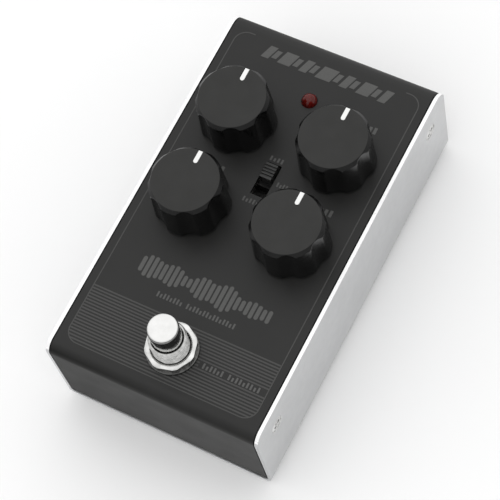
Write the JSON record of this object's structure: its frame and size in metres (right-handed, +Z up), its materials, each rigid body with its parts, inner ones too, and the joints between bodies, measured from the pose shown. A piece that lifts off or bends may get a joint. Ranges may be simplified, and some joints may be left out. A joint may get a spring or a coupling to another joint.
{
  "type": "guitar effects pedal",
  "caption": "Compact bent-sheet guitar effects pedal with fluted knobs, a slide switch, an indicator lamp, a footswitch and rear sockets.",
  "frame": {"origin": "middle of the whole part's width and depth, sockets included, on the plane that the rubber feet stand on; the middle of the box itself lies 2.05 mm in front of it", "axes": "+Z up out of the control panel, +Y towards the sockets on the rear wall, +X to the right of a player who faces the panel"},
  "size_m": [0.0724, 0.131, 0.0559],
  "materials": {
    "tray_metal": "silver satin coat",
    "cover_paint": "fine satin black coat with grey print",
    "bright_steel": "polished nickel plate",
    "plain_steel": "brushed",
    "tin_plate": "dull tin plate",
    "knob_black": "satin top, glossy flutes",
    "pointer_white": "white",
    "shaft_alloy": "turned",
    "lens_red": "clear dark red",
    "black_plastic": "moulded",
    "case_blue": "moulded",
    "phenolic": "laminate",
    "rubber_black": "matte",
    "board_green": "solder mask",
    "ribbon_grey": "ribbed",
    "capacitor_red": "dipped",
    "capacitor_sleeve": "sleeve",
    "resistor_tan": "lacquer",
    "spring_bronze": "spring temper"
  },
  "bodies": {
    "enclosure": {"base_tray": "tray_metal", "top_cover": "cover_paint", "side_screws": "bright_steel", "clinch_nuts": "plain_steel", "rubber_feet": "rubber_black", "pot_bushings": "spring_bronze", "pot_nuts": "plain_steel", "pot_washers": "plain_steel", "pot_cans": "tin_plate", "pot_wafers": "phenolic", "pot_terminals": "tin_plate", "lamp_lens": "lens_red", "lamp_leads": "tin_plate", "lamp_spacer": "black_plastic", "slide_shell": "tin_plate", "slide_wafer": "black_plastic", "slide_terminals": "tin_plate", "foot_bushing": "bright_steel", "foot_nut": "bright_steel", "foot_washer": "bright_steel", "foot_lock_nut": "plain_steel", "foot_frame": "tin_plate", "foot_case": "case_blue", "foot_lugs": "tin_plate", "foot_spring": "plain_steel", "switch_board": "board_green", "switch_ribbon": "ribbon_grey", "main_board": "board_green", "jack_board": "board_green", "board_ribbon": "ribbon_grey", "input_jack": "black_plastic", "output_jack": "black_plastic", "input_bushing": "bright_steel", "output_bushing": "bright_steel", "jack_nuts": "bright_steel", "jack_washers": "bright_steel", "jack_contacts": "spring_bronze", "power_jack": "black_plastic", "power_pin": "bright_steel", "power_contacts": "tin_plate", "logic_chips": "black_plastic", "film_capacitors": "capacitor_red", "electrolytic_capacitors": "capacitor_sleeve", "resistors": "resistor_tan"},
    "knob_rear_left_turning": {"knob_rear_left": "knob_black", "pointer_rear_left": "pointer_white", "shaft_rear_left": "shaft_alloy"},
    "knob_rear_right_turning": {"knob_rear_right": "knob_black", "pointer_rear_right": "pointer_white", "shaft_rear_right": "shaft_alloy"},
    "knob_front_left_turning": {"knob_front_left": "knob_black", "pointer_front_left": "pointer_white", "shaft_front_left": "shaft_alloy"},
    "knob_front_right_turning": {"knob_front_right": "knob_black", "pointer_front_right": "pointer_white", "shaft_front_right": "shaft_alloy"},
    "slide_switch": {"slide_cap": "black_plastic"},
    "foot_plunger": {"foot_button": "bright_steel"}
  },
  "joints": [
    {"name": "turn_knob_rear_left", "type": "hinge", "parent": "enclosure", "child": "knob_rear_left_turning", "pos_m": [-0.0172, 0.02625, 0.0386], "axis": [0, 0, 1], "range_deg": [-150, 150]},
    {"name": "turn_knob_rear_right", "type": "hinge", "parent": "enclosure", "child": "knob_rear_right_turning", "pos_m": [0.0172, 0.02625, 0.0386], "axis": [0, 0, 1], "range_deg": [-150, 150]},
    {"name": "turn_knob_front_left", "type": "hinge", "parent": "enclosure", "child": "knob_front_left_turning", "pos_m": [-0.0172, -0.00435, 0.0386], "axis": [0, 0, 1], "range_deg": [-150, 150]},
    {"name": "turn_knob_front_right", "type": "hinge", "parent": "enclosure", "child": "knob_front_right_turning", "pos_m": [0.0172, -0.00435, 0.0386], "axis": [0, 0, 1], "range_deg": [-150, 150]},
    {"name": "slide_switch_travel", "type": "slide", "parent": "enclosure", "child": "slide_switch", "axis": [0, -1, 0], "range_m": [0, 0.0048]},
    {"name": "press_foot_button", "type": "slide", "parent": "enclosure", "child": "foot_plunger", "axis": [0, 0, -1], "range_m": [0, 0.003], "stiffness_N_per_m": 1500, "springref_m": -0.003, "deforming": ["foot_spring"]}
  ]
}
